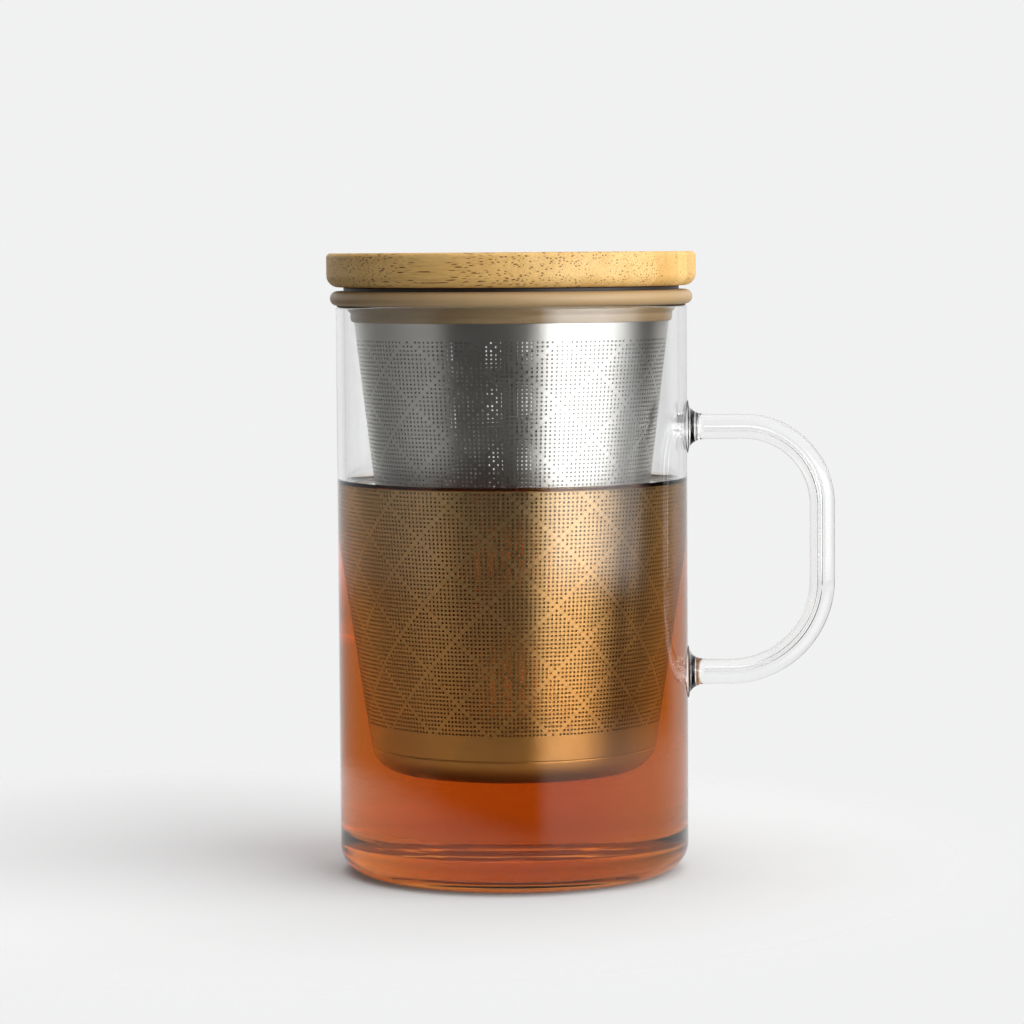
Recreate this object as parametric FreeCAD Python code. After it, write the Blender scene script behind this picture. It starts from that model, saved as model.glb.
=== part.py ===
import FreeCAD, Part
import math
import os

# Lidded glass tea mug with a lift-out steel infuser, in millimetres.
# The origin is the centre of the flat base of the cup, +Z is up and the
# handle points along +X.  Three things lift apart: the cup with its handle,
# the infuser that hangs in its mouth, and the bamboo lid that plugs the infuser.

V = FreeCAD.Vector
UP = V(0, 0, 1)
CENTRE = V(0, 0, 0)
OVERSHOOT = 1.0              # how far cutting tools run past a face
MATCH = 0.01                 # how closely an edge is matched when it is looked up

# Cup: a straight borosilicate glass cylinder
CUP_RADIUS = 40.0
CUP_HEIGHT = 129.4
CUP_WALL = 2.0
CUP_FLOOR = 3.0
CUP_HEEL_RADIUS = 6.0        # rounding between the side and the flat base
CUP_RIM_ROUNDING = 0.7       # fire-polished lip

# Handle: a solid glass rod bent to a D and welded to the side
ROD_DIAMETER = 5.8
HANDLE_TOP_Z = 101.3         # centre line of the upper arm
HANDLE_BOTTOM_Z = 45.0       # centre line of the lower arm
HANDLE_STANDOFF = 30.9       # centre line of the grip, from the outside of the glass
HANDLE_TOP_BEND = 18.0
HANDLE_BOTTOM_BEND = 21.0
WELD_FOOT_RADIUS = 6.0       # the flared foot where the rod meets the wall

# Collar: a moulded silicone ring that holds the infuser's flange and sits on the lip
COLLAR_OVERHANG = 1.5        # how far the bead stands out past the glass
COLLAR_BEAD_HEIGHT = 2.6
COLLAR_UNDER_FLANGE = 1.0    # silicone between the lip and the flange
COLLAR_MOUTH_CLEARANCE = 0.6 # between the skirt and the inside of the glass
SKIRT_THICKNESS = 1.0
SKIRT_STRAIGHT = 1.4         # upright part of the skirt
SKIRT_DEPTH = 3.7            # whole skirt below the lip
SKIRT_TIP = 0.4              # thickness of the skirt at its lower edge

# Infuser: a tapered perforated sleeve with a pressed dish for a floor
SHEET = 0.5                  # thickness of the steel sheet
SLEEVE_FOOT_RADIUS = 24.35   # outside, at the seam with the dish
UNDER_INFUSER = 19.9         # space between the cup's floor and the dish
DISH_HEIGHT = 5.5
DISH_ROUNDING = 5.0
RIM_LAP = 7.0                # how far the rim ring reaches down inside the sleeve
FLANGE_WIDTH = 2.8           # how far the rim ring's flange stands out from the sleeve

# Perforation: a square grid of windows, left blank along two families of diagonals
# so that the plain metal between them draws a net of diamonds round the sleeve
WINDOW_COLUMNS = 36
DIAMONDS_HIGH = 3
DIAMOND_WINDOWS = 6          # grid steps from one diagonal to the next
WINDOW_SHARE = 0.56          # part of each grid step that is open
PLAIN_TOP = 8.6              # unpierced sheet above the windows
PLAIN_FOOT = 5.6             # unpierced sheet below the windows

# Lid: a turned bamboo disc glued up from strips, with a plug and a seal
LID_OVERHANG = 0.55          # how far the disc stands out past the collar
LID_THICKNESS = 7.7
LID_TOP_ROUNDING = 1.0
LID_BOTTOM_ROUNDING = 2.8
STRIP_SHARES = (0.0624, 0.3068, 0.107, 0.0642, 0.2568)   # of the disc's width; the last strip is the rest
GRAIN_ANGLE = -25.0          # direction of the fibres, degrees from +X
PLUG_DEPTH = 6.6
SEAL_SETBACK = 3.85          # from the disc's edge to the edge of the seal's flange
SEAL_FLANGE = 1.6            # thickness of the dark ring between lid and collar
SEAL_SLEEVE = 0.8
SEAL_FIN = 0.35              # how far each fin stands out from the seal's sleeve
FIN_COUNT = 2
SEAL_CLEARANCE = 0.3         # between the fins and the infuser's mouth

# Sizes that follow from the seats
CUP_BORE_RADIUS = CUP_RADIUS - CUP_WALL
HANDLE_REACH = CUP_RADIUS + HANDLE_STANDOFF
COLLAR_OUTER_RADIUS = CUP_RADIUS + COLLAR_OVERHANG
COLLAR_TOP_Z = CUP_HEIGHT + COLLAR_BEAD_HEIGHT
SKIRT_RADIUS = CUP_BORE_RADIUS - COLLAR_MOUTH_CLEARANCE
FLANGE_Z = CUP_HEIGHT + COLLAR_UNDER_FLANGE
DISH_BOTTOM_Z = CUP_FLOOR + UNDER_INFUSER
SLEEVE_FOOT_Z = DISH_BOTTOM_Z + DISH_HEIGHT
SLEEVE_TOP_RADIUS = SKIRT_RADIUS - SKIRT_THICKNESS
SLEEVE_TAPER = (SLEEVE_TOP_RADIUS - SLEEVE_FOOT_RADIUS) / (FLANGE_Z - SLEEVE_FOOT_Z)
SHEET_ACROSS = SHEET * math.hypot(1.0, SLEEVE_TAPER)   # the sheet measured along a radius
LID_RADIUS = COLLAR_OUTER_RADIUS + LID_OVERHANG
LID_Z = COLLAR_TOP_Z + SEAL_FLANGE
PLUG_Z = LID_Z - PLUG_DEPTH
SEAL_FLANGE_RADIUS = LID_RADIUS - SEAL_SETBACK


def sleeve_radius(z, layers=0):
    """Radius of the tapered sleeve at height z, `layers` sheets in from its outside."""
    return SLEEVE_FOOT_RADIUS + SLEEVE_TAPER * (z - SLEEVE_FOOT_Z) - layers * SHEET_ACROSS


SEAL_SLEEVE_RADIUS = sleeve_radius(PLUG_Z, 2) - SEAL_CLEARANCE - SEAL_FIN
PLUG_RADIUS = SEAL_SLEEVE_RADIUS - SEAL_SLEEVE


def outline(*points):
    """Closed outline through (radius, height) points; a triple bows the next edge through it."""
    edges = []
    start = points[0]
    bow = None
    for point in points[1:] + (points[0],):
        if len(point) == 3:
            bow = V(point[0], 0, point[1])
            continue
        a = V(start[0], 0, start[1])
        b = V(point[0], 0, point[1])
        edges.append(Part.Arc(a, bow, b).toShape() if bow else Part.LineSegment(a, b).toShape())
        start = point
        bow = None
    return Part.Face(Part.Wire(edges))


def turned(*points):
    """Solid of revolution about the cup's axis."""
    return outline(*points).revolve(CENTRE, UP, 360)


def edges_at(solid, radius, z):
    """The round edges of a turned solid at one radius and height."""
    found = []
    for edge in solid.Edges:
        curve = edge.Curve
        if isinstance(curve, Part.Circle) and abs(curve.Radius - radius) < MATCH:
            if abs(curve.Center.z - z) < MATCH:
                found.append(edge)
    return found


def cup_body():
    shell = Part.makeCylinder(CUP_RADIUS, CUP_HEIGHT)
    shell = shell.makeFillet(CUP_HEEL_RADIUS, edges_at(shell, CUP_RADIUS, 0))
    depth = CUP_HEIGHT - CUP_FLOOR
    bore = Part.makeCylinder(CUP_BORE_RADIUS, depth + OVERSHOOT, V(0, 0, CUP_FLOOR))
    inner_heel = CUP_HEEL_RADIUS - CUP_WALL / 2
    bore = bore.makeFillet(inner_heel, edges_at(bore, CUP_BORE_RADIUS, CUP_FLOOR))
    cup = shell.cut(bore)
    lip = edges_at(cup, CUP_RADIUS, CUP_HEIGHT) + edges_at(cup, CUP_BORE_RADIUS, CUP_HEIGHT)
    return cup.makeFillet(min(CUP_RIM_ROUNDING, CUP_WALL / 3), lip)


def weld_foot(z):
    """Flared glass foot of one arm, turned about the arm's centre line."""
    rod = ROD_DIAMETER / 2
    flare = WELD_FOOT_RADIUS - rod
    inside = V(CUP_RADIUS - CUP_WALL, 0, z)
    edge = V(CUP_RADIUS, 0, z + WELD_FOOT_RADIUS)
    neck = V(CUP_RADIUS + flare, 0, z + rod)
    hollow = V(neck.x, 0, edge.z) - V(1, 0, 1).normalize() * flare
    corners = [neck, V(neck.x, 0, z), inside, V(inside.x, 0, edge.z), edge]
    edges = [Part.LineSegment(a, b).toShape() for a, b in zip(corners, corners[1:])]
    edges.append(Part.Arc(edge, hollow, neck).toShape())
    return Part.Face(Part.Wire(edges)).revolve(V(0, 0, z), V(1, 0, 0), 360)


def handle():
    """The bent rod with its two welded feet, trimmed to the curve of the wall."""
    start = CUP_RADIUS - CUP_WALL
    top = V(start, 0, HANDLE_TOP_Z)
    bottom = V(start, 0, HANDLE_BOTTOM_Z)

    def bend(centre, radius, first, last):
        points = [centre + V(math.cos(a), 0, math.sin(a)) * radius
                  for a in (math.radians(first), math.radians((first + last) / 2), math.radians(last))]
        return Part.Arc(*points).toShape()

    top_centre = V(HANDLE_REACH - HANDLE_TOP_BEND, 0, HANDLE_TOP_Z - HANDLE_TOP_BEND)
    bottom_centre = V(HANDLE_REACH - HANDLE_BOTTOM_BEND, 0, HANDLE_BOTTOM_Z + HANDLE_BOTTOM_BEND)
    path = Part.Wire([
        Part.LineSegment(top, top_centre + V(0, 0, HANDLE_TOP_BEND)).toShape(),
        bend(top_centre, HANDLE_TOP_BEND, 90, 0),
        Part.LineSegment(top_centre + V(HANDLE_TOP_BEND, 0, 0),
                         bottom_centre + V(HANDLE_BOTTOM_BEND, 0, 0)).toShape(),
        bend(bottom_centre, HANDLE_BOTTOM_BEND, 0, -90),
        Part.LineSegment(bottom_centre - V(0, 0, HANDLE_BOTTOM_BEND), bottom).toShape(),
    ])
    section = Part.Wire(Part.makeCircle(ROD_DIAMETER / 2, top, V(1, 0, 0)))
    rod = path.makePipeShell([section], True, False)
    whole = rod.fuse([weld_foot(HANDLE_TOP_Z), weld_foot(HANDLE_BOTTOM_Z)])
    wall = Part.makeCylinder(CUP_RADIUS, CUP_HEIGHT)
    return whole.cut(wall).removeSplitter()


def window_cutter(turn, low, high):
    """Wedge that opens one window: a short arc of a square ring, centred on `turn` degrees."""
    inner = sleeve_radius(low, 1) - OVERSHOOT
    outer = sleeve_radius(high) + OVERSHOOT
    width = WINDOW_SHARE * 360 / WINDOW_COLUMNS
    corners = [V(inner, 0, low), V(outer, 0, low), V(outer, 0, high), V(inner, 0, high), V(inner, 0, low)]
    wedge = Part.Face(Part.makePolygon(corners)).revolve(CENTRE, UP, width)
    wedge.rotate(CENTRE, UP, turn - width / 2)
    return wedge


def window_cutters():
    """Every window of the sleeve, with the diagonals of the diamond net left out."""
    rows = DIAMONDS_HIGH * DIAMOND_WINDOWS - 1
    low = SLEEVE_FOOT_Z + PLAIN_FOOT
    step = (FLANGE_Z - PLAIN_TOP - low) / rows
    cutters = []
    for row in range(1, rows + 1):
        middle = low + (row - 0.5) * step
        reach = WINDOW_SHARE * step / 2
        for column in range(WINDOW_COLUMNS):
            rising = (row + column) % DIAMOND_WINDOWS == 0
            falling = (row - column) % DIAMOND_WINDOWS == 0
            if not rising and not falling:
                turn = column * 360 / WINDOW_COLUMNS
                cutters.append(window_cutter(turn, middle - reach, middle + reach))
    return cutters


def infuser_wall():
    """The tapered sleeve, from the dish seam up to the flange, pierced all round."""
    sleeve = turned(
        (sleeve_radius(SLEEVE_FOOT_Z), SLEEVE_FOOT_Z),
        (sleeve_radius(FLANGE_Z), FLANGE_Z),
        (sleeve_radius(FLANGE_Z, 1), FLANGE_Z),
        (sleeve_radius(SLEEVE_FOOT_Z, 1), SLEEVE_FOOT_Z))
    return sleeve.cut(window_cutters())


def infuser_base():
    """Pressed dish that closes the foot of the sleeve, butt-welded at the seam."""
    def pressing(bottom_z, layers, rounding, overshoot):
        low = sleeve_radius(bottom_z, layers)
        top_z = SLEEVE_FOOT_Z + overshoot
        block = Part.makeCone(low, sleeve_radius(top_z, layers), top_z - bottom_z, V(0, 0, bottom_z))
        return block.makeFillet(rounding, edges_at(block, low, bottom_z))

    rounding = min(DISH_ROUNDING, DISH_HEIGHT - SHEET)
    outside = pressing(DISH_BOTTOM_Z, 0, rounding, 0)
    inside = pressing(DISH_BOTTOM_Z + SHEET, 1, rounding - SHEET, OVERSHOOT)
    return outside.cut(inside)


def infuser_rim():
    """Steel ring lapped inside the top of the sleeve, with a flange that the collar grips."""
    low = FLANGE_Z - RIM_LAP
    return turned(
        (sleeve_radius(low, 1), low),
        (sleeve_radius(FLANGE_Z, 1), FLANGE_Z),
        (sleeve_radius(FLANGE_Z) + FLANGE_WIDTH, FLANGE_Z),
        (sleeve_radius(FLANGE_Z) + FLANGE_WIDTH, FLANGE_Z + SHEET),
        (sleeve_radius(FLANGE_Z, 2), FLANGE_Z + SHEET),
        (sleeve_radius(low, 2), low))


def infuser_collar():
    """Silicone collar: a half-round bead over the lip and a skirt inside the mouth."""
    bead = COLLAR_BEAD_HEIGHT / 2
    tip_z = CUP_HEIGHT - SKIRT_DEPTH
    groove_radius = sleeve_radius(FLANGE_Z) + FLANGE_WIDTH
    mouth = sleeve_radius(FLANGE_Z, 2)
    return turned(
        (sleeve_radius(tip_z) + SKIRT_TIP, tip_z),
        (SKIRT_RADIUS, CUP_HEIGHT - SKIRT_STRAIGHT),
        (SKIRT_RADIUS, CUP_HEIGHT),
        (COLLAR_OUTER_RADIUS - bead, CUP_HEIGHT),
        (COLLAR_OUTER_RADIUS, CUP_HEIGHT + bead, True),
        (COLLAR_OUTER_RADIUS - bead, COLLAR_TOP_Z),
        (mouth, COLLAR_TOP_Z),
        (mouth, FLANGE_Z + SHEET),
        (groove_radius, FLANGE_Z + SHEET),
        (groove_radius, FLANGE_Z),
        (sleeve_radius(FLANGE_Z), FLANGE_Z),
        (sleeve_radius(tip_z), tip_z))


def lid_strips():
    """The bamboo disc, sawn along its glue lines into the strips it is made of."""
    disc = Part.makeCylinder(LID_RADIUS, LID_THICKNESS, V(0, 0, LID_Z))
    disc = disc.makeFillet(LID_TOP_ROUNDING, edges_at(disc, LID_RADIUS, LID_Z + LID_THICKNESS))
    disc = disc.makeFillet(LID_BOTTOM_ROUNDING, edges_at(disc, LID_RADIUS, LID_Z))
    span = 2 * (LID_RADIUS + OVERSHOOT)
    seams = [LID_RADIUS * (2 * sum(STRIP_SHARES[:count + 1]) - 1) for count in range(len(STRIP_SHARES))]
    lines = [-LID_RADIUS - OVERSHOOT] + seams + [LID_RADIUS + OVERSHOOT]
    strips = []
    for near, far in zip(lines, lines[1:]):
        board = Part.makeBox(span, far - near, LID_THICKNESS, V(-span / 2, near, LID_Z))
        board.rotate(CENTRE, UP, GRAIN_ANGLE)
        strips.append(disc.common(board))
    return strips


def lid_plug():
    """Bamboo boss glued under the disc; it centres the lid in the infuser."""
    return Part.makeCylinder(PLUG_RADIUS, PLUG_DEPTH, V(0, 0, PLUG_Z))


def lid_seal():
    """Dark silicone seal: a flat flange under the disc and a finned sleeve on the plug."""
    seal = turned(
        (PLUG_RADIUS, PLUG_Z),
        (PLUG_RADIUS, LID_Z),
        (SEAL_FLANGE_RADIUS, LID_Z),
        (SEAL_FLANGE_RADIUS, COLLAR_TOP_Z),
        (SEAL_SLEEVE_RADIUS, COLLAR_TOP_Z),
        (SEAL_SLEEVE_RADIUS, PLUG_Z))
    root = SEAL_SLEEVE_RADIUS - SEAL_SLEEVE / 2
    pitch = (COLLAR_TOP_Z - PLUG_Z) / (FIN_COUNT + 1)
    fins = []
    for number in range(1, FIN_COUNT + 1):
        z = PLUG_Z + number * pitch
        fins.append(turned(
            (root, z - SEAL_FIN),
            (SEAL_SLEEVE_RADIUS, z - SEAL_FIN),
            (SEAL_SLEEVE_RADIUS + SEAL_FIN, z),
            (SEAL_SLEEVE_RADIUS, z + SEAL_FIN),
            (root, z + SEAL_FIN)))
    return seal.fuse(fins).removeSplitter()


def build():
    nodes = {
        "mug_body": cup_body(),
        "mug_handle": handle(),
        "infuser_wall": infuser_wall(),
        "infuser_base": infuser_base(),
        "infuser_rim": infuser_rim(),
        "infuser_collar": infuser_collar(),
        "lid_plug": lid_plug(),
        "lid_seal": lid_seal(),
    }
    for number, strip in enumerate(lid_strips(), start=1):
        nodes[f"lid_strip_{number}"] = strip
    os.makedirs("parts", exist_ok=True)
    for name, shape in nodes.items():
        box = shape.BoundBox
        print(f"{name:16s} solids {len(shape.Solids)} valid {shape.isValid()} volume {shape.Volume:10.1f}"
              f" z {box.ZMin:7.2f} to {box.ZMax:7.2f}")
        shape.exportStep(f"parts/{name}.step")


build()
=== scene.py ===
import math

import bmesh
import bpy
from mathutils import Matrix, Vector


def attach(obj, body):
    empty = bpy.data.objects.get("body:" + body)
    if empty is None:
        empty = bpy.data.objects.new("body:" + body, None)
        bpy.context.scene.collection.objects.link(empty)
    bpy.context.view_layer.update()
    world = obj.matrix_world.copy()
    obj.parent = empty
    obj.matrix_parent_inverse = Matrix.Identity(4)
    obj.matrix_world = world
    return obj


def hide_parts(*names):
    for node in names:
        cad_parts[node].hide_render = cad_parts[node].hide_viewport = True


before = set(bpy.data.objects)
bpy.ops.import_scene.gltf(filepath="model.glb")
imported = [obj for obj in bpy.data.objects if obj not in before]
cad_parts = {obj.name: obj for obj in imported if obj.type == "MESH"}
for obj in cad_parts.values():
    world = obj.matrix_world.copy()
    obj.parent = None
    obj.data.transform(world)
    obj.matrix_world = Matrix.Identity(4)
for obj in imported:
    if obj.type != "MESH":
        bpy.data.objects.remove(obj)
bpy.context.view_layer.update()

# A glass tea mug with a lift-out steel infuser and a bamboo lid.  Shapes are
# drawn in millimetres round the cup's axis and scaled to metres when a piece
# is finished.  The viewer stands at -Y and the handle points along +X.

MM = 0.001
AXIS = Vector((0, 0, 1))
CENTRE = Vector((0, 0, 0))
FULL_TURN = 2 * math.pi

# Cup and handle
CUP_RADIUS = 40.0
CUP_HEIGHT = 129.4
BORE_RADIUS = 38.0
GLASS_STEPS = 256            # cup and tea are turned in the same steps, so they fit exactly
FLOOR_Z = 3.0
HEEL = 6.0
INNER_HEEL = 5.0
PUNT = 1.5                   # rise of the hollow underside at its middle
PUNT_RADIUS = 8.0
STANDING_RADIUS = 32.5
RING_DEPTH = 1.5             # of the pressed rings near the base, against the wall's waves
RING_HEIGHTS = (0.009, 0.013)    # the rings fade out between these heights, in metres
LIP_ROUNDING = 0.66
ROD_RADIUS = 2.9
ARM_TOP_Z = 101.3
ARM_BOTTOM_Z = 45.0
GRIP_X = 70.9
TOP_BEND = 18.0
BOTTOM_BEND = 21.0
FOOT_RADIUS = 6.0
FOOT_LENGTH = 3.8            # along the arm, from the wall to the plain rod
FOOT_END_X = 44.0
FOOT_STATIONS = 12           # rings in the curve of the foot
ROD_SUNK = 1.2               # how far the rod starts inside the wall
AIR_LINE_X = 43.8
AIR_LINE_RADIUS = 0.45
AIR_LINE_INSET = 0.35

# Tea
TEA_Z = 88.8
MENISCUS = 1.2               # how far the tea climbs up the glass
MENISCUS_CURVE = (           # (inward from the glass, above the level)
    (0.0, MENISCUS), (0.35, 0.62), (0.85, 0.3), (1.6, 0.1), (2.6, 0.02), (3.6, 0.0))
TEA_LAP = 0.05               # how far the tea runs into the glass, so no gap is left between them

GLASS_IOR = 1.47
TEA_IOR = 1.333

# Infuser
SHEET = 0.5
SLEEVE_FOOT_Z = 28.4
SLEEVE_FOOT_RADIUS = 24.35
FLANGE_Z = 130.4
SLEEVE_TOP_RADIUS = 36.4
TAPER = (SLEEVE_TOP_RADIUS - SLEEVE_FOOT_RADIUS) / (FLANGE_Z - SLEEVE_FOOT_Z)
SHEET_ACROSS = SHEET * math.hypot(1, TAPER)    # the sheet measured along a radius
DISH_Z = 22.9
HOLE_ROWS = 95
TOP_ROW_Z = 121.6
ROW_STEP = 0.929
COLUMN_STEP = math.radians(360 / 199)
FIRST_COLUMN_TURN = math.radians(18.13)
HOLE = 0.43
NET = 16                     # grid steps from one plain diagonal to the next
PIERCING_INSET = 0.22        # in grid steps; a first cut, the wrapped hole is set to HOLE
INSIDE_CELL = 0.49           # in grid steps; nearer to a place than this is its hole's edge
SECTOR_COLUMNS = 64
FIRST_SECTOR_COLUMN = -96
SEAM_COLUMNS = 7             # the plain strip at the seam, on the last sector
RIM_LAP = 7.0                # how far the rim ring reaches down inside the sleeve
FLANGE_WIDTH = 2.8           # how far the rim ring's flange stands out from the sleeve

# Collar, seal and lid
BEAD_RADIUS = 41.28
BEAD_TOP_Z = 132.76
BEAD_ROUNDING = 1.67
COLLAR_TOP_Z = 132.0
SKIRT_RADIUS = 37.4
SKIRT_DEPTH = 3.7
LID_RADIUS = 42.05
LID_Z = 133.6
LID_TOP_Z = 141.3
GRAIN_TURN = math.radians(-25)
SEAMS = (-36.8, -11.0, -2.0, 3.4, 25.0)
SEAM_GROOVE = 0.07           # bevel on the glued edges, so that the seams show
SEAL_FLANGE_RADIUS = 38.2
PLUG_Z = 127.0
SEAL_RADIUS = 34.35
FIN = 0.35
PLUG_RADIUS = 33.55

# Table top
TABLE_CENTRE = (-50.0, 15.0)
TABLE_REACH = 180.0
TABLE_Z = -0.15              # just under the cup, so that no faces coincide
TABLE_FADE = (0.60, 0.99)    # shares of the reach between which it fades out
TABLE_SEEN = 0.86            # its paleness to the eye
TABLE_BOUNCE = 0.12          # its paleness for the light that it throws back on the mug

# Light.  The room is painted in bands, from the lowest up: each entry of ROOM holds the height at
# which a band begins to show, the height at which it has taken over, both as the z of a ray, and
# its levels round the room as (degrees from the viewer towards the handle, level).
LEVEL_RANGE = 8.0            # a colour ramp holds 0 to 1, so levels are kept divided by this
UNDERSIDE_LEVEL = 0.12
CEILING_LEVEL = 1.68
CEILING_START = (0.80, 0.92)
WINDOW_GAIN = 1.62
BACKDROP = (0.88, 0.882, 0.885, 1.0)
NEAR_TABLE = (
    (-180, 0.6), (-160, 0.35), (-141, 0.11), (-118, 0.11), (-100, 0.24), (-82, 0.40), (-55, 0.40),
    (-46, 0.055), (12, 0.055), (28, 2.32), (66, 2.32), (79, 0.8), (95, 0.06), (103, 0.03),
    (130, 0.05), (180, 0.6))
FAR_TABLE = (
    (-180, 0.85), (-160, 0.7), (-141, 0.3), (-122, 0.15), (-56, 0.17), (-47, 0.035), (13, 0.035),
    (24, 1.1), (78, 1.1), (104, 0.75), (150, 0.85), (180, 0.85))
DARK_GAP = (
    (-180, 0.85), (-160, 0.7), (-141, 0.3), (-122, 0.12), (-56, 0.12), (-47, 0.03), (88, 0.1),
    (118, 0.05), (132, 0.6), (180, 0.85))
WINDOW = (
    (-180, 0.9), (-160, 0.9), (-141, 0.60), (-118, 0.40), (-100, 0.30), (-82, 0.39), (-56, 0.37),
    (-47, 0.037), (18, 0.035), (32, 4.6), (64, 4.6), (74, 3.2), (85, 2.2), (95, 0.4), (103, 0.03),
    (120, 0.04), (132, 0.7), (180, 0.9))
BRIGHT_WINDOW = tuple((degrees, WINDOW_GAIN * level) for degrees, level in WINDOW)
HIGH_WALL = (
    (-180, 0.7), (-160, 0.5), (-130, 0.2), (-30, 0.2), (8, 0.2), (30, 2.1), (95, 2.1), (110, 0.4),
    (128, 0.5), (140, 0.9), (180, 0.7))
ROOM = (
    (-0.85, -0.55, NEAR_TABLE), (-0.21, -0.17, FAR_TABLE), (-0.145, -0.125, DARK_GAP),
    (-0.100, -0.084, WINDOW), (0.0, 0.08, BRIGHT_WINDOW), (0.20, 0.34, HIGH_WALL))

# Viewpoint, in metres and degrees
SENSOR_MM = 36.0
LENS_MM = 126.24
CLIP = (0.01, 20.0)
EYE = (-0.000129, -0.82005, 0.141372)
EYE_DIP = 4.144
EYE_ROLL = -0.389


# ---------------------------------------------------------------- shader tools

class Signal:
    """A shader socket that takes part in sums."""

    def __init__(self, finish, socket):
        self.finish = finish
        self.socket = socket

    def also(self, output):
        """Another output of the node that this signal comes from."""
        return Signal(self.finish, self.socket.node.outputs[output])

    def _math(self, operation, first, second):
        return self.finish.node("ShaderNodeMath", {"operation": operation}, {0: first, 1: second})

    def __add__(self, other):
        return self._math("ADD", self, other)

    def __radd__(self, other):
        return self._math("ADD", other, self)

    def __sub__(self, other):
        return self._math("SUBTRACT", self, other)

    def __rsub__(self, other):
        return self._math("SUBTRACT", other, self)

    def __mul__(self, other):
        return self._math("MULTIPLY", self, other)

    def __rmul__(self, other):
        return self._math("MULTIPLY", other, self)

    def __truediv__(self, other):
        return self._math("DIVIDE", self, other)

    def __lt__(self, other):
        return self._math("LESS_THAN", self, other)


class Finish:
    """A node tree being filled, and the few ways in which nodes go into it."""

    def __init__(self, owner):
        owner.use_nodes = True
        self.owner = owner
        self.tree = owner.node_tree
        self.tree.nodes.clear()

    def node(self, kind, settings=None, values=None, output=0):
        made = self.tree.nodes.new(kind)
        for name, setting in (settings or {}).items():
            if name == "stops":
                ramp = made.color_ramp
                while len(ramp.elements) < len(setting):
                    ramp.elements.new(1.0)
                for element, (place, colour) in zip(ramp.elements, setting):
                    element.position = place
                    element.color = colour
            else:
                setattr(made, name, setting)
        for key, value in (values or {}).items():
            if isinstance(value, Signal):
                self.tree.links.new(value.socket, made.inputs[key])
            else:
                made.inputs[key].default_value = value
        return Signal(self, made.outputs[output]) if made.outputs else None

    def place(self, turn=0.0, scale=(1, 1, 1), shift=(0, 0, 0)):
        """Object coordinates, turned about the axis and then stretched."""
        spot = self.node("ShaderNodeTexCoord", output="Object")
        turned_spot = self.node("ShaderNodeMapping", {"vector_type": "POINT"},
                                {"Vector": spot, "Rotation": (0, 0, turn), "Location": shift})
        return self.node("ShaderNodeVectorMath", {"operation": "MULTIPLY"},
                         {0: turned_spot, 1: scale})

    def parts(self, vector, output):
        return self.node("ShaderNodeSeparateXYZ", None, {"Vector": vector}, output)

    def noise(self, where, scale, detail, roughness=0.5):
        return self.node(
            "ShaderNodeTexNoise", {"noise_dimensions": "3D"},
            {"Vector": where, "Scale": scale, "Detail": detail, "Roughness": roughness})

    def spread(self, value, low, high, start=0.0, end=1.0):
        """value from low..high, eased to start..end and held there."""
        return self.node(
            "ShaderNodeMapRange", {"interpolation_type": "SMOOTHSTEP"},
            {"Value": value, "From Min": low, "From Max": high, "To Min": start, "To Max": end})

    def mixed(self, factor, first, second, way="MIX"):
        return self.node(
            "ShaderNodeMix", {"data_type": "RGBA", "blend_type": way, "clamp_result": False},
            {0: factor, 6: first, 7: second}, output=2)

    def bumped(self, height, distance):
        return self.node("ShaderNodeBump", None,
                         {"Height": height, "Distance": distance, "Strength": 1.0})

    def shader(self, **values):
        return self.node("ShaderNodeBsdfPrincipled", None,
                         {name.replace("_", " "): value for name, value in values.items()})

    def done(self, surface, volume=None, kind="ShaderNodeOutputMaterial"):
        """Lead what was drawn to the output, and hand back the material."""
        sinks = {"Surface": surface}
        if volume:
            sinks["Volume"] = volume
        self.node(kind, None, sinks)
        return self.owner


def new_finish(name):
    return Finish(bpy.data.materials.new(name))


def grey(level):
    return (level, level, level, 1.0)


def srgb(red, green, blue):
    """A colour given as it looks on screen, 0 to 255."""
    def linear(channel):
        share = channel / 255
        return share / 12.92 if share <= 0.04045 else ((share + 0.055) / 1.055) ** 2.4
    return (linear(red), linear(green), linear(blue), 1.0)


# ---------------------------------------------------------------- finishes

def clear_glass(name="clear_glass", ior=GLASS_IOR):
    """Borosilicate glass: faint waves of drawn tube, and close rings where the base was pressed."""
    finish = new_finish(name)
    waves = finish.noise(finish.place(scale=(1, 1, 0.35)), 55.0, 1.0)
    rings = finish.noise(finish.place(scale=(22, 22, 950)), 1.0, 1.0)
    height = finish.parts(finish.node("ShaderNodeTexCoord", output="Object"), "Z")
    pressed = finish.spread(height, *RING_HEIGHTS, RING_DEPTH, 0.0)
    return finish.done(finish.shader(
        Base_Color=(0.985, 0.99, 0.985, 1.0), Roughness=0.0, IOR=ior, Transmission_Weight=1.0,
        Normal=finish.bumped(waves + rings * pressed, 0.00002)))


def wetted_glass():
    """The bore where tea stands against it, so that glass meets tea and not air."""
    return clear_glass("wetted_glass", GLASS_IOR / TEA_IOR)


def brew(finish):
    """What the tea takes out of the light: little red, much blue."""
    return finish.node("ShaderNodeVolumeAbsorption", None,
                       {"Color": (0.864, 0.556, 0.035, 1.0), "Density": 88.0})


def black_tea():
    """The open surface of clear red-brown tea."""
    finish = new_finish("black_tea")
    ripple = finish.noise(finish.place(), 90.0, 1.0)
    return finish.done(finish.shader(
        Base_Color=(1.0, 1.0, 1.0, 1.0), Roughness=0.0, IOR=TEA_IOR, Transmission_Weight=1.0,
        Normal=finish.bumped(ripple, 0.00001)), brew(finish))


def tea_side():
    """The tea against the glass: the glass does the bending, the tea only the tinting."""
    finish = new_finish("tea_side")
    return finish.done(finish.node("ShaderNodeBsdfTransparent"), brew(finish))


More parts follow.
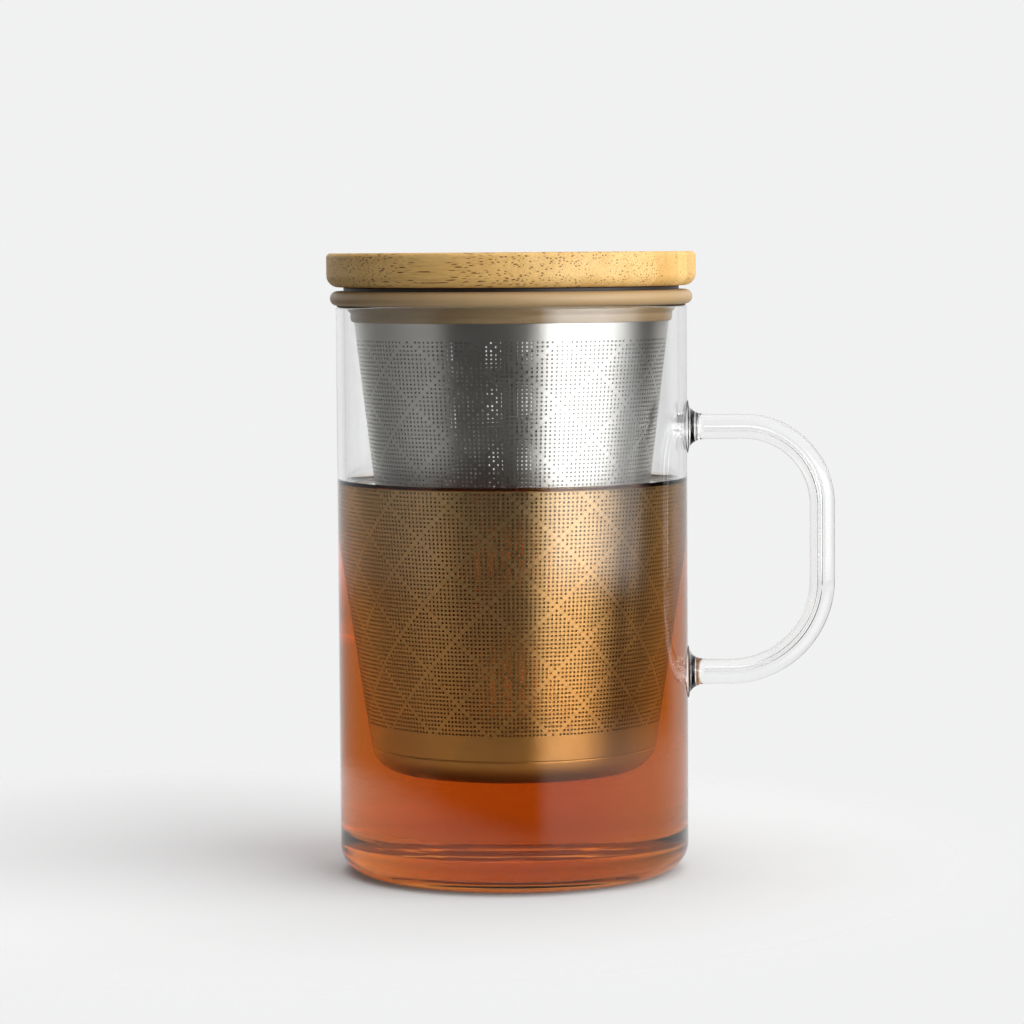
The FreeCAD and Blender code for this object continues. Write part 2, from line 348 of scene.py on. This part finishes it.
def brushed_steel():
    """Stainless sheet with fine brushing round the axis, so that its glints run up and down."""
    finish = new_finish("brushed_steel")
    brushing = finish.noise(finish.place(scale=(40, 40, 16000)), 1.0, 2.0, 0.6)
    cloud = finish.noise(finish.place(scale=(1, 1, 1.6)), 45.0, 2.0)
    colour = finish.mixed(
        finish.spread(cloud, 0.35, 0.65), srgb(196, 193, 188), srgb(206, 204, 200))
    return finish.done(finish.shader(
        Base_Color=colour, Metallic=1.0, Anisotropic=0.85, Anisotropic_Rotation=0.25,
        Roughness=0.34 + 0.08 * (brushing - 0.5) + 0.05 * (cloud - 0.5),
        Normal=finish.bumped(brushing, 0.000003)))


def tan_silicone():
    """Soft tan silicone with a dusty, faintly mottled skin."""
    finish = new_finish("tan_silicone")
    mottle = finish.noise(finish.place(), 140.0, 3.0)
    pores = finish.noise(finish.place(), 2600.0, 2.0)
    colour = finish.mixed(mottle, srgb(168, 139, 99), srgb(179, 150, 109))
    return finish.done(finish.shader(
        Base_Color=colour, Roughness=0.46 + 0.12 * (mottle - 0.5),
        Specular_IOR_Level=0.5, Normal=finish.bumped(pores, 0.00002)))


def dark_silicone():
    """Seal silicone, charcoal brown: its near-black is painted shade for the gap between lid and
    collar.
    """
    finish = new_finish("dark_silicone")
    mottle = finish.noise(finish.place(), 180.0, 3.0)
    pores = finish.noise(finish.place(), 2600.0, 2.0)
    # near-black colour: painted shade of the dark gap under the lid, carried by the seal's flange
    colour = finish.mixed(mottle, srgb(44, 38, 34), srgb(54, 48, 43))
    return finish.done(finish.shader(
        Base_Color=colour, Roughness=0.5 + 0.15 * (mottle - 0.5),
        Normal=finish.bumped(pores, 0.00002)))


def bamboo(number, light, dark, dense=0.5):
    """Carbonised bamboo: pale ground with dark bundles that run along the fibres."""
    finish = new_finish(f"bamboo_{number}")
    shift = (0.013 * number, 0.037 * number, 0.0071 * number)
    along = finish.place(-GRAIN_TURN, (1, 1, 1), shift)
    across = finish.parts(along, "Y")
    end_grain = finish.node("ShaderNodeCombineXYZ", None, {"X": across, "Y": across.also("Z")})
    cells = {"Vector": end_grain, "Scale": 1650.0, "Randomness": 0.85}
    flat = {"feature": "F1", "voronoi_dimensions": "2D"}
    bundle = finish.node("ShaderNodeTexVoronoi", flat, cells)
    pick = finish.node("ShaderNodeSeparateColor", None, {"Color": bundle.also("Color")})

    def streaks(stretch, detail, roughness=0.5):
        return finish.noise(finish.place(-GRAIN_TURN, stretch, shift), 1.0, detail, roughness)

    broken = streaks((330, 900, 900), 1.0)
    patch = streaks((30, 260, 260), 2.0)
    size = 0.10 + 0.16 * pick
    core = finish.spread(bundle - size, -0.03, 0.09, 1.0, 0.0)
    shown = (finish.spread(broken, 0.40, 0.52) * finish.spread(patch + 0.25 * dense, 0.48, 0.66)
             * (pick.also("Green") < 0.25 + 0.75 * dense))
    fine = streaks((120, 3800, 3800), 3.0, 0.6)
    broad = streaks((14, 160, 120), 2.0)
    ground = finish.mixed(finish.spread(broad, 0.3, 0.7), light, dark)
    ground = finish.mixed(0.38 * finish.spread(fine, 0.38, 0.70), ground, srgb(150, 104, 52))
    strength = 0.85 * core * shown
    colour = finish.mixed(strength, ground, srgb(98, 56, 22))
    height = fine * 0.5 - strength
    return finish.done(finish.shader(
        Base_Color=colour, Roughness=0.48 + 0.14 * fine,
        Specular_IOR_Level=0.4, Normal=finish.bumped(height, 0.00003)))


# ---------------------------------------------------------------- shape tools

def profile(points, closed=True):
    """A bmesh holding one outline in the XZ plane; a third number rounds that corner."""
    bm = bmesh.new()
    corners = [bm.verts.new((point[0], 0, point[1])) for point in points]
    following = corners[1:] + (corners[:1] if closed else [])
    for start, end in zip(corners, following):
        bm.edges.new((start, end))
    for corner, point in zip(corners, points):
        if len(point) == 3:
            bmesh.ops.bevel(
                bm, geom=[corner], offset=point[2], offset_type="OFFSET", segments=10,
                profile=0.5, affect="VERTICES", clamp_overlap=False, material=-1)
    return bm


def turned(points, steps=192, closed=True):
    """A solid of revolution about the cup's axis."""
    bm = profile(points, closed)
    bmesh.ops.spin(bm, geom=bm.verts[:] + bm.edges[:], cent=CENTRE, axis=AXIS,
                   angle=FULL_TURN, steps=steps, use_merge=True, use_duplicate=False)
    bmesh.ops.remove_doubles(bm, verts=bm.verts, dist=0.002)
    bmesh.ops.recalc_face_normals(bm, faces=bm.faces)
    return bm


def as_object(bm, name):
    """The drawn shape, still in millimetres, as an object of its own at the origin."""
    mesh = bpy.data.meshes.new(name)
    bm.to_mesh(mesh)
    bm.free()
    made = bpy.data.objects.new(name, mesh)
    bpy.context.scene.collection.objects.link(made)
    return made


def finished(bm, name, material, body, nodes=(), sharp=38):
    """A finished piece: smooth, with true edges, its material and its body; the model's parts that
    it stands for are hidden.
    """
    piece = bm if isinstance(bm, bpy.types.Object) else as_object(bm, name)
    piece.data.transform(Matrix.Scale(MM, 4))
    piece.data.materials.append(material)
    piece.data.shade_smooth()
    piece.data.set_sharp_from_angle(angle=math.radians(sharp))
    even = piece.modifiers.new("even_shading", "WEIGHTED_NORMAL")
    even.keep_sharp = True
    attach(piece, body)
    if nodes:
        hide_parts(*nodes)
    return piece


def sleeve_radius(z):
    """The outside of the tapered infuser at a height."""
    return SLEEVE_FOOT_RADIUS + TAPER * (z - SLEEVE_FOOT_Z)


# ---------------------------------------------------------------- the glass

def cup():
    """The turned cup; the bore up to the tea line takes the second finish."""
    bm = turned([
        (0, PUNT), (PUNT_RADIUS, PUNT, 4.0), (STANDING_RADIUS, 0, 1.0),
        (CUP_RADIUS, 0, HEEL), (CUP_RADIUS, CUP_HEIGHT, LIP_ROUNDING),
        (BORE_RADIUS, CUP_HEIGHT, LIP_ROUNDING), (BORE_RADIUS, TEA_Z + MENISCUS),
        (BORE_RADIUS, FLOOR_Z, INNER_HEEL), (0, FLOOR_Z)],
        steps=GLASS_STEPS, closed=False)
    for face in bm.faces:
        middle = face.calc_center_median()
        inside = middle.z > FLOOR_Z - 0.1 and math.hypot(middle.x, middle.y) < BORE_RADIUS + 0.1
        face.material_index = int(inside and middle.z < TEA_Z + MENISCUS)
    return bm


def fillet(share):
    """A station (x, radius) of the melted foot, from the wall at 0 to the plain rod at 1."""
    slope = math.pi / 2 * (1 - share)
    return (FOOT_END_X - FOOT_LENGTH * math.sin(slope),
            ROD_RADIUS + (FOOT_RADIUS - ROD_RADIUS) * (1 - math.cos(slope)))


def handle_run(stations, inset=0.0):
    """A closed tube drawn ring by ring along the handle; stations are (x, radius) on an arm."""
    bm = bmesh.new()
    start, first_radius = stations[0]
    stand = (Matrix.Translation((start, 0, ARM_TOP_Z - inset))
             @ Matrix.Rotation(math.pi / 2, 4, "Y"))
    bmesh.ops.create_circle(bm, segments=64, radius=first_radius, matrix=stand)
    first = bm.edges[:]

    def drawn(ring, along, swell=1.0):
        fresh = bmesh.ops.extrude_edge_only(bm, edges=ring)["geom"]
        ends = [item for item in fresh if isinstance(item, bmesh.types.BMVert)]
        bmesh.ops.translate(bm, vec=along, verts=ends)
        middle = sum((vert.co for vert in ends), Vector()) / len(ends)
        bmesh.ops.scale(bm, vec=(1, swell, swell), space=Matrix.Translation(-middle), verts=ends)
        return [item for item in fresh if isinstance(item, bmesh.types.BMEdge)
                and all(vert in ends for vert in item.verts)]

    def arm(ring, stops):
        for (x, radius), (next_x, next_radius) in zip(stops, stops[1:]):
            ring = drawn(ring, (next_x - x, 0, 0), next_radius / radius)
        return ring

    def bend(ring, centre):
        verts = list({vert for edge in ring for vert in edge.verts})
        spun = bmesh.ops.spin(
            bm, geom=verts + ring, cent=centre, axis=(0, 1, 0), angle=math.pi / 2,
            steps=36, use_merge=False, use_duplicate=False)
        return [item for item in spun["geom_last"] if isinstance(item, bmesh.types.BMEdge)]

    top = Vector((GRIP_X - TOP_BEND, 0, ARM_TOP_Z - TOP_BEND))
    low = Vector((GRIP_X - BOTTOM_BEND, 0, ARM_BOTTOM_Z + BOTTOM_BEND))
    plain = stations[-1][1]
    ring = arm(first, stations + [(top.x, plain)])
    ring = bend(ring, top)
    ring = drawn(ring, (0, 0, low.z - top.z))
    ring = bend(ring, low)
    ring = arm(ring, [(low.x, plain)] + stations[::-1])
    bmesh.ops.contextual_create(bm, geom=first)
    bmesh.ops.contextual_create(bm, geom=ring)
    bmesh.ops.recalc_face_normals(bm, faces=bm.faces)
    return bm


def rod():
    """The bent rod with its two flared feet, which start inside the wall."""
    foot = [fillet(step / FOOT_STATIONS) for step in range(FOOT_STATIONS + 1)]
    return handle_run([(CUP_RADIUS - ROD_SUNK, FOOT_RADIUS)] + foot)


def air_line():
    """The fine hollow that runs inside the drawn rod, a little towards the inside of its bends."""
    bm = handle_run([(AIR_LINE_X, AIR_LINE_RADIUS)], AIR_LINE_INSET)
    bmesh.ops.reverse_faces(bm, faces=bm.faces)
    return bm


def welded(target, *tools):
    """target with the tools joined on as one skin, so that no wall is left inside the glass."""
    for tool in tools:
        join = target.modifiers.new("weld", "BOOLEAN")
        join.operation = "UNION"
        join.solver = "EXACT"
        join.object = tool
    shapes = bpy.context.evaluated_depsgraph_get()
    skin = bpy.data.meshes.new_from_object(target.evaluated_get(shapes))
    for item in (target, *tools):
        bpy.data.objects.remove(item)
    made = bpy.data.objects.new("mug_glass", skin)
    bpy.context.scene.collection.objects.link(made)
    return made


def mug_glass(material, wetted):
    """Cup and handle in one skin; the part of the bore below the tea line has its own finish."""
    skin = welded(as_object(cup(), "cup"), as_object(rod(), "rod"))
    hollow = as_object(air_line(), "air_line")
    bm = bmesh.new()
    bm.from_mesh(skin.data)
    bm.from_mesh(hollow.data)
    bm.to_mesh(skin.data)
    bm.free()
    bpy.data.objects.remove(hollow)
    piece = finished(skin, "mug_glass", material, "mug",
                     ("mug_body", "mug_handle"), 50)
    piece.data.materials.append(wetted)
    return piece


def tea(surface, side):
    """The tea: its open surface with the rise at the glass, and its side and floor."""
    wall = BORE_RADIUS + TEA_LAP
    rise = [(wall - inward, TEA_Z + up) for inward, up in MENISCUS_CURVE]
    bm = turned([
        (0, FLOOR_Z - TEA_LAP), (wall, FLOOR_Z - TEA_LAP, INNER_HEEL), *rise, (0, TEA_Z)],
        steps=GLASS_STEPS, closed=False)
    for face in bm.faces:
        face.material_index = int(face.normal.z < 0.2)
    piece = finished(bm, "tea", surface, "mug")
    piece.data.materials.append(side)
    return piece


# ---------------------------------------------------------------- the infuser

def pierced(row, column):
    """True where the sleeve has a hole; two families of diagonals are left plain."""
    return (row + 1 + column) % NET != 0 and (row + 1 - column) % NET != 0


def on_sleeve(spot):
    """From the flat pattern (columns, rows, depth) to the tapered sleeve."""
    column = round(spot.x)
    beside = spot.x - column
    z = TOP_ROW_Z + spot.y * ROW_STEP
    row = round(-spot.y)
    radius = sleeve_radius(z)
    turn = FIRST_COLUMN_TURN + spot.x * COLUMN_STEP
    if abs(beside) < INSIDE_CELL:
        turn = FIRST_COLUMN_TURN + column * COLUMN_STEP + math.copysign(HOLE / 2 / radius, beside)
        z = TOP_ROW_Z - row * ROW_STEP + math.copysign(HOLE / 2, spot.y + row)
    radius += spot.z
    return Vector((radius * math.sin(turn), -radius * math.cos(turn), z))


def flat_sheet(first, wide):
    """A flat grid with one cell for each place where a hole can be; x counts columns, -y rows."""
    bm = bmesh.new()
    bmesh.ops.create_grid(bm, x_segments=wide, y_segments=HOLE_ROWS, size=0.5)
    bmesh.ops.scale(bm, vec=(wide, HOLE_ROWS, 1), verts=bm.verts)
    bmesh.ops.translate(bm, vec=(first + wide / 2 - 0.5, 0.5 - HOLE_ROWS / 2, 0), verts=bm.verts)
    return bm


def with_plain_ends(bm):
    """Draw the unpierced sheet on, up to the flange and down to the seam with the dish."""
    top, foot = 0.5, 0.5 - HOLE_ROWS
    upper = [edge for edge in bm.edges if all(v.co.y > top - 0.1 for v in edge.verts)]
    lower = [edge for edge in bm.edges if all(v.co.y < foot + 0.1 for v in edge.verts)]
    for edges, z in ((upper, FLANGE_Z), (lower, SLEEVE_FOOT_Z)):
        drawn = bmesh.ops.extrude_edge_only(bm, edges=edges)["geom"]
        for vert in drawn:
            if isinstance(vert, bmesh.types.BMVert):
                vert.co.y = (z - TOP_ROW_Z) / ROW_STEP


def brushed_round_axis(mesh):
    """Centre the mesh's own space on the cup, so that the brushing runs round the cup's axis."""
    mesh.use_auto_texspace = False
    mesh.texspace_location = (0, 0, (SLEEVE_FOOT_Z + FLANGE_Z) / 2 * MM)
    mesh.texspace_size = (SLEEVE_TOP_RADIUS * MM, SLEEVE_TOP_RADIUS * MM,
                          (FLANGE_Z - SLEEVE_FOOT_Z) / 2 * MM)


def sleeve_sector(number, first, blank, material):
    """A sector of the sleeve, drawn flat, pierced, thickened and then wrapped on the cone."""
    bm = flat_sheet(first, SECTOR_COLUMNS + blank)
    cells = []
    for face in bm.faces:
        middle = face.calc_center_median()
        column, row = round(middle.x), round(-middle.y)
        if column < first + SECTOR_COLUMNS and pierced(row, column):
            cells.append(face)
    with_plain_ends(bm)
    bmesh.ops.inset_individual(
        bm, faces=cells, thickness=PIERCING_INSET, depth=0, use_even_offset=True)
    bmesh.ops.delete(bm, geom=cells, context="FACES")
    bmesh.ops.recalc_face_normals(bm, faces=bm.faces)
    bmesh.ops.solidify(bm, geom=bm.faces[:], thickness=SHEET)
    deepest = max(vert.co.z for vert in bm.verts)
    for vert in bm.verts:
        vert.co.z -= deepest
        vert.co = on_sleeve(vert.co)
    bmesh.ops.recalc_face_normals(bm, faces=bm.faces)
    sector = finished(bm, f"sleeve_sector_{number}", material, "infuser",
                      ("infuser_wall",))
    brushed_round_axis(sector.data)


def sleeve(material):
    """Three sectors; the last one carries the plain strip of the seam, on the far side."""
    for number, blank in enumerate((0, 0, SEAM_COLUMNS)):
        first = FIRST_SECTOR_COLUMN + number * SECTOR_COLUMNS
        sleeve_sector(number + 1, first, blank, material)


def dish(material):
    """The pressed floor, with the rolled edge and the fine groove of the seam."""
    low = sleeve_radius(DISH_Z)
    return finished(turned([
        (0, DISH_Z), (low, DISH_Z, 5.0), (sleeve_radius(28.0), 28.0),
        (sleeve_radius(28.2) - 0.16, 28.2), (sleeve_radius(SLEEVE_FOOT_Z), SLEEVE_FOOT_Z),
        (sleeve_radius(SLEEVE_FOOT_Z) - SHEET_ACROSS, SLEEVE_FOOT_Z),
        (low - SHEET_ACROSS, DISH_Z + SHEET, 4.5), (0, DISH_Z + SHEET)], closed=False),
        "infuser_dish", material, "infuser", ("infuser_base",), 50)


def rim(material):
    """The steel ring lapped inside the sleeve, with the flange that the collar grips."""
    low = FLANGE_Z - RIM_LAP
    flange = SLEEVE_TOP_RADIUS + FLANGE_WIDTH
    return finished(turned([
        (sleeve_radius(low) - SHEET_ACROSS, low), (SLEEVE_TOP_RADIUS - SHEET_ACROSS, FLANGE_Z),
        (flange, FLANGE_Z), (flange, FLANGE_Z + SHEET),
        (SLEEVE_TOP_RADIUS - 2 * SHEET_ACROSS, FLANGE_Z + SHEET),
        (sleeve_radius(low) - 2 * SHEET_ACROSS, low)]),
        "rim_ring", material, "infuser", ("infuser_rim",))


def collar(material):
    """Silicone collar: a round bead on the lip, and a thin lipped skirt inside the glass."""
    tip = CUP_HEIGHT - SKIRT_DEPTH
    tip_radius = sleeve_radius(tip)
    mouth = SLEEVE_TOP_RADIUS - 2 * SHEET_ACROSS
    groove = SLEEVE_TOP_RADIUS + FLANGE_WIDTH
    return finished(turned([
        (tip_radius + 0.55, tip, 0.4), (tip_radius + 0.85, tip + 1.1, 0.4),
        (tip_radius + 0.7, tip + 1.9, 0.3), (SKIRT_RADIUS, CUP_HEIGHT - 0.9, 0.3),
        (SKIRT_RADIUS, CUP_HEIGHT, 0.25), (BEAD_RADIUS, CUP_HEIGHT, BEAD_ROUNDING),
        (BEAD_RADIUS, BEAD_TOP_Z, BEAD_ROUNDING), (SEAL_FLANGE_RADIUS - 0.5, BEAD_TOP_Z - 0.1, 1.1),
        (SEAL_FLANGE_RADIUS - 1.6, COLLAR_TOP_Z, 0.6),
        (mouth, COLLAR_TOP_Z, 0.4), (mouth, FLANGE_Z + SHEET), (groove, FLANGE_Z + SHEET),
        (groove, FLANGE_Z), (SLEEVE_TOP_RADIUS, FLANGE_Z), (tip_radius, tip)]),
        "collar", material, "infuser", ("infuser_collar",), 50)


# ---------------------------------------------------------------- the lid

def lid_strip(number, near, far, material):
    """One glued strip of the disc, cut from it along the grain."""
    bm = turned([
        (0, LID_Z), (LID_RADIUS, LID_Z, 2.7), (LID_RADIUS, LID_TOP_Z, 1.0), (0, LID_TOP_Z)],
        closed=False)
    across = Matrix.Rotation(GRAIN_TURN, 3, "Z") @ Vector((0, 1, 0))
    for place, outward in ((near, -across), (far, across)):
        if abs(place) < LID_RADIUS:
            cut = bmesh.ops.bisect_plane(
                bm, geom=bm.verts[:] + bm.edges[:] + bm.faces[:], dist=0.0005,
                plane_co=across * place, plane_no=outward, clear_outer=True)
            sawn = [item for item in cut["geom_cut"] if isinstance(item, bmesh.types.BMEdge)]
            bmesh.ops.contextual_create(bm, geom=sawn)
            bmesh.ops.bevel(
                bm, geom=sawn, offset=SEAM_GROOVE, offset_type="OFFSET", segments=1,
                profile=0.5, affect="EDGES", clamp_overlap=True, material=-1)
    bmesh.ops.recalc_face_normals(bm, faces=bm.faces)
    return finished(bm, f"bamboo_strip_{number}", material, "lid",
                    (f"lid_strip_{number}",))


def lid():
    """The six glued strips, each of its own tone and share of dark bundles."""
    tones = (
        (srgb(232, 190, 118), srgb(218, 174, 102), 1.0),
        (srgb(236, 196, 126), srgb(224, 180, 108), 0.8),
        (srgb(228, 184, 112), srgb(216, 170, 98), 0.3),
        (srgb(238, 200, 128), srgb(228, 186, 112), 0.3),
        (srgb(230, 186, 112), srgb(220, 172, 98), 0.5),
        (srgb(234, 194, 124), srgb(222, 178, 106), 0.7))
    lines = (-LID_RADIUS - 1, *SEAMS, LID_RADIUS + 1)
    for number, (near, far, tone) in enumerate(zip(lines, lines[1:], tones), start=1):
        lid_strip(number, near, far, bamboo(number, *tone))


def lid_boss(material):
    """The bamboo boss under the disc, which the seal is stretched on."""
    return finished(turned([
        (0, PLUG_Z), (PLUG_RADIUS, PLUG_Z, 0.4), (PLUG_RADIUS, LID_Z), (0, LID_Z)], closed=False),
        "bamboo_boss", material, "lid", ("lid_plug",))


def lid_ring(material):
    """Dark silicone, its near-black painted shade of the gap under the lid: a flat flange under the
    disc and a finned sleeve on the boss.
    """
    pitch = (COLLAR_TOP_Z - PLUG_Z) / 3
    points = [(PLUG_RADIUS, PLUG_Z), (PLUG_RADIUS, LID_Z), (SEAL_FLANGE_RADIUS, LID_Z, 0.25),
              (SEAL_FLANGE_RADIUS, COLLAR_TOP_Z, 0.25), (SEAL_RADIUS, COLLAR_TOP_Z)]
    for z in (PLUG_Z + 2 * pitch, PLUG_Z + pitch):
        points += [(SEAL_RADIUS, z + FIN), (SEAL_RADIUS + FIN, z, 0.1), (SEAL_RADIUS, z - FIN)]
    points.append((SEAL_RADIUS, PLUG_Z, 0.3))
    return finished(
        turned(points), "seal_ring", material, "lid", ("lid_seal",), 60)


# ---------------------------------------------------------------- room, light and camera

def straight_sight(finish):
    """1 for what is seen directly or through clear glass, 0 for reflected and scattered light."""
    path = finish.node("ShaderNodeLightPath")
    deep = path.also("Glossy Depth") + path.also("Diffuse Depth")
    return path.also("Is Camera Ray") + path.also("Is Transmission Ray") * (deep < 0.5)


def table_top():
    """A pale table top that fades into the plain background."""
    bm = bmesh.new()
    bmesh.ops.create_circle(bm, cap_ends=True, segments=96, radius=TABLE_REACH)
    bmesh.ops.translate(bm, vec=(*TABLE_CENTRE, TABLE_Z), verts=bm.verts)
    top = as_object(bm, "table_top")
    top.data.transform(Matrix.Scale(MM, 4))
    finish = new_finish("table_top")
    spot = finish.node("ShaderNodeTexCoord", output="Object")
    middle = (TABLE_CENTRE[0] * MM, TABLE_CENTRE[1] * MM, 0)
    reach = finish.node("ShaderNodeVectorMath", {"operation": "DISTANCE"}, {0: spot, 1: middle},
                        output="Value")
    scattered = finish.node("ShaderNodeLightPath", output="Is Diffuse Ray")
    colour = finish.mixed(scattered, grey(TABLE_SEEN), grey(TABLE_BOUNCE))
    paper = finish.shader(Base_Color=colour, Roughness=1.0, Specular_IOR_Level=0.0)
    clear = finish.node("ShaderNodeBsdfTransparent")
    fade = finish.spread(reach, *(TABLE_REACH * MM * share for share in TABLE_FADE))
    top.data.materials.append(finish.done(
        finish.node("ShaderNodeMixShader", None, {0: fade, 1: paper, 2: clear})))


def compass(finish, turn, band):
    """The level of one band of the room, by the turn of the ray: 0 and 1 straight behind."""
    stops = [(degrees / 360 + 0.5, grey(level / LEVEL_RANGE)) for degrees, level in band]
    return finish.node("ShaderNodeValToRGB", {"stops": stops}, {"Fac": turn})


def studio():
    """Soft light: a broad bright window on the right, a dim room in front and on the left."""
    world = bpy.data.worlds.new("studio")
    bpy.context.scene.world = world
    finish = Finish(world)
    x = finish.parts(finish.node("ShaderNodeTexCoord", output="Generated"), "X")
    y, z = x.also("Y"), x.also("Z")
    angle = finish.node("ShaderNodeMath", {"operation": "ARCTAN2"}, {0: x, 1: 0.0 - y})
    turn = angle / FULL_TURN + 0.5
    light = grey(UNDERSIDE_LEVEL / LEVEL_RANGE)
    for low, high, band in ROOM:
        light = finish.mixed(finish.spread(z, low, high), light, compass(finish, turn, band))
    ceiling = grey(CEILING_LEVEL / LEVEL_RANGE)
    light = finish.mixed(finish.spread(z, *CEILING_START), light, ceiling)
    light = finish.mixed(1.0, light, grey(LEVEL_RANGE), "MULTIPLY")
    colour = finish.mixed(straight_sight(finish), light, BACKDROP)
    finish.done(finish.node("ShaderNodeBackground", None, {"Color": colour, "Strength": 1.0}),
                kind="ShaderNodeOutputWorld")


def camera():
    """A long lens a little above the middle of the mug, looking slightly down."""
    data = bpy.data.cameras.new("camera")
    data.sensor_width = SENSOR_MM
    data.lens = LENS_MM
    data.clip_start, data.clip_end = CLIP
    view = bpy.data.objects.new("camera", data)
    bpy.context.scene.collection.objects.link(view)
    view.matrix_world = (Matrix.Translation(EYE)
                         @ Matrix.Rotation(math.radians(90 - EYE_DIP), 4, "X")
                         @ Matrix.Rotation(math.radians(EYE_ROLL), 4, "Z"))
    bpy.context.scene.camera = view


def main():
    bpy.context.scene.view_settings.view_transform = "Standard"
    camera()
    studio()
    table_top()
    steel = brushed_steel()
    mug_glass(clear_glass(), wetted_glass())
    tea(black_tea(), tea_side())
    sleeve(steel)
    dish(steel)
    rim(steel)
    collar(tan_silicone())
    lid()
    lid_boss(bamboo(7, srgb(226, 188, 120), srgb(214, 170, 102)))
    # the seal's near-black finish is painted shade for the gap under the lid
    lid_ring(dark_silicone())


main()
